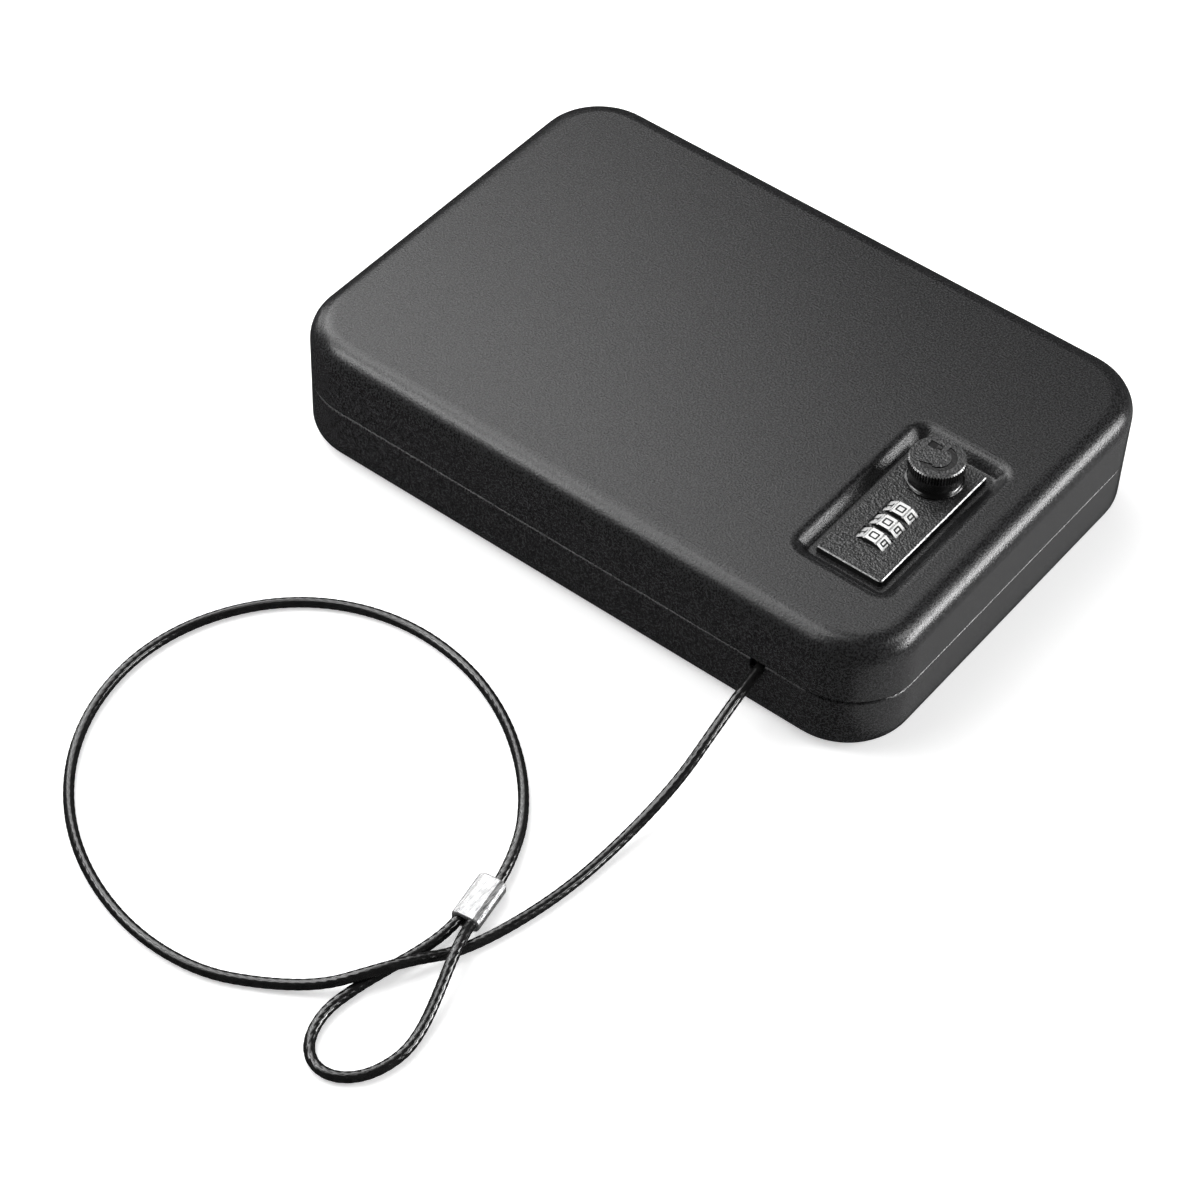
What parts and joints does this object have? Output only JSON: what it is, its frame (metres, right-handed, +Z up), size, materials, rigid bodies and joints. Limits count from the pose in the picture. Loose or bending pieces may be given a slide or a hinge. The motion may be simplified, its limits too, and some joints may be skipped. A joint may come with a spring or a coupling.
{
  "type": "cash box",
  "caption": "Flat portable steel cash box with a hinged lid, a combination dial lock with a turn knob in a lid recess, and a coated tether cable that ends in a crimped eye.",
  "frame": {"origin": "under the middle of the base tray, on the surface that the box stands on (the tether cable left out)", "axes": "+Z up, +Y along the long side from the lock's end to the hinge's end, +X across; the cable leaves the -X side"},
  "size_m": [0.3581, 0.24, 0.0565],
  "materials": {
    "powder_coat": "satin",
    "plated_steel": "satin",
    "liner_foam": "matte",
    "lock_black": "satin",
    "knob_black": "gloss",
    "dial_plated": "satin",
    "brass": "satin",
    "slider_plastic": "satin",
    "cable_jacket": "gloss",
    "ferrule_aluminium": "satin"
  },
  "bodies": {
    "base": {"base_shell": "powder_coat", "rim_flange": "plated_steel", "hinge_base_leaf": "plated_steel", "hinge_pin": "plated_steel", "base_foam_pad": "liner_foam", "catch_bracket": "plated_steel", "cable": "cable_jacket", "cable_end_stop": "plated_steel", "cable_ferrule": "ferrule_aluminium"},
    "lid": {"lid_shell": "powder_coat", "lid_foam_pad": "liner_foam", "hinge_lid_leaf": "plated_steel", "lock_housing": "lock_black", "lock_back_plate": "plated_steel", "lock_back_screws": "plated_steel", "lock_mount_screws": "plated_steel", "dial_axle": "plated_steel", "dial_detent_spring": "plated_steel", "locking_pin": "plated_steel"},
    "knob": {"knob": "knob_black", "knob_spindle": "plated_steel", "latch_cam": "plated_steel", "cam_washer": "plated_steel", "cam_nut": "plated_steel"},
    "dial_1": {"dial_wheel_1": "dial_plated", "code_sleeve_1": "brass"},
    "dial_2": {"dial_wheel_2": "dial_plated", "code_sleeve_2": "brass"},
    "dial_3": {"dial_wheel_3": "dial_plated", "code_sleeve_3": "brass"},
    "reset": {"code_reset_slider": "slider_plastic"}
  },
  "joints": [
    {"name": "lid_hinge", "type": "hinge", "parent": "base", "child": "lid", "pos_m": [0, 0.1178, 0.0233], "axis": [-1, 0, 0], "range_deg": [0, 100]},
    {"name": "knob_turn", "type": "hinge", "parent": "lid", "child": "knob", "pos_m": [-0.0014, -0.0862, 0.05], "axis": [0, 0, -1], "range_deg": [0, 90]},
    {"name": "dial_1_spin", "type": "hinge", "parent": "lid", "child": "dial_1", "pos_m": [-0.0352, -0.0862, 0.0407], "axis": [1, 0, 0], "continuous": true},
    {"name": "dial_2_spin", "type": "hinge", "parent": "lid", "child": "dial_2", "pos_m": [-0.0278, -0.0862, 0.0407], "axis": [1, 0, 0], "continuous": true},
    {"name": "dial_3_spin", "type": "hinge", "parent": "lid", "child": "dial_3", "pos_m": [-0.0204, -0.0862, 0.0407], "axis": [1, 0, 0], "continuous": true},
    {"name": "reset_slide", "type": "slide", "parent": "lid", "child": "reset", "axis": [1, 0, 0], "range_m": [0, 0.004]}
  ]
}
